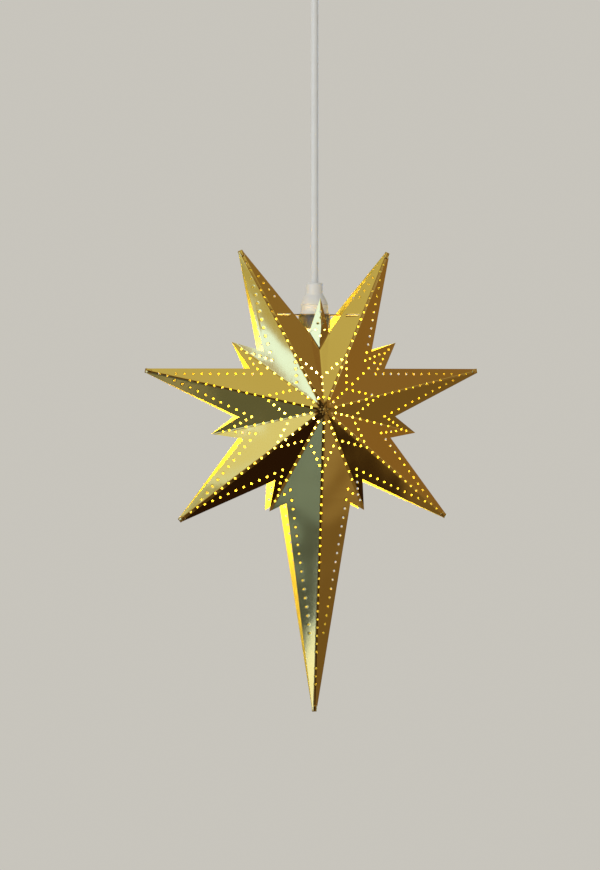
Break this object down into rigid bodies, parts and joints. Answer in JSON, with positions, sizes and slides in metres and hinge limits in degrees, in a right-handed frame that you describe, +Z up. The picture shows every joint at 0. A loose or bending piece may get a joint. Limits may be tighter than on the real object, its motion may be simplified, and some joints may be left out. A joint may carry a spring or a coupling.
{
  "type": "hanging star lamp",
  "caption": "Hanging star lamp of folded, perforated sheet brass with long and short points, lit by a screw-in bulb in a white holder on a cord from a ceiling fitting.",
  "frame": {"origin": "on the ceiling plane, midway between the strap's two screw holes, above the star's centre", "axes": "+Z up, -Y towards the side that the picture shows, +X to that side's right"},
  "size_m": [0.3346, 0.084, 0.776],
  "materials": {
    "sheet_brass": "polished and lacquered sheet",
    "white_plastic": "moulded, satin",
    "ring_plastic": "moulded, black",
    "cup_plastic": "moulded",
    "zinc_steel": "zinc plated",
    "terminal_plastic": "moulded",
    "terminal_brass": "turned",
    "cord_sheath": "extruded",
    "live_wire": "extruded",
    "neutral_wire": "extruded",
    "holder_ceramic": "moulded",
    "bulb_glass": "clear",
    "bulb_metal": "pressed",
    "bulb_insulator": "black glass",
    "filament": "glowing when lit"
  },
  "bodies": {
    "ceiling": {"ceiling_strap": "zinc_steel", "strap_nut": "zinc_steel", "nipple": "zinc_steel", "cord_grip": "white_plastic", "grip_screw": "white_plastic", "ceiling_cup": "cup_plastic", "terminal_block": "terminal_plastic", "terminal_screws": "terminal_brass", "cord_tail": "cord_sheath", "live_core": "live_wire", "neutral_core": "neutral_wire"},
    "cord": {"cord": "cord_sheath"},
    "lamp": {"holder_cap": "white_plastic", "strain_relief": "white_plastic", "holder_core": "holder_ceramic", "holder_skirt": "white_plastic", "screw_shell": "terminal_brass", "centre_contact": "terminal_brass", "terminal_posts": "terminal_brass", "live_wire": "live_wire", "neutral_wire": "neutral_wire", "lamp_bracket": "sheet_brass", "front_shell": "sheet_brass", "back_shell": "sheet_brass"},
    "ring": {"shade_ring": "ring_plastic"},
    "bulb": {"bulb_glass": "bulb_glass", "bulb_cap": "bulb_metal", "bulb_insulator": "bulb_insulator", "bulb_contact": "bulb_metal", "bulb_stem": "bulb_glass", "filament_supports": "zinc_steel", "bulb_filament": "filament"}
  },
  "joints": [
    {"name": "cord_swing", "type": "hinge", "parent": "ceiling", "child": "cord", "pos_m": [0, 0, -0.069], "axis": [0, 1, 0], "range_deg": [-20, 20]},
    {"name": "star_turn", "type": "hinge", "parent": "cord", "child": "lamp", "pos_m": [0, 0, -0.3637], "axis": [0, 0, 1], "range_deg": [-180, 180]},
    {"name": "ring_turn", "type": "hinge", "parent": "lamp", "child": "ring", "pos_m": [0, 0, -0.3882], "axis": [0, 0, 1], "range_deg": [-1080, 0]},
    {"name": "bulb_turn", "type": "hinge", "parent": "lamp", "child": "bulb", "pos_m": [0, 0, -0.3844], "axis": [0, 0, 1], "range_deg": [-1440, 0]}
  ]
}
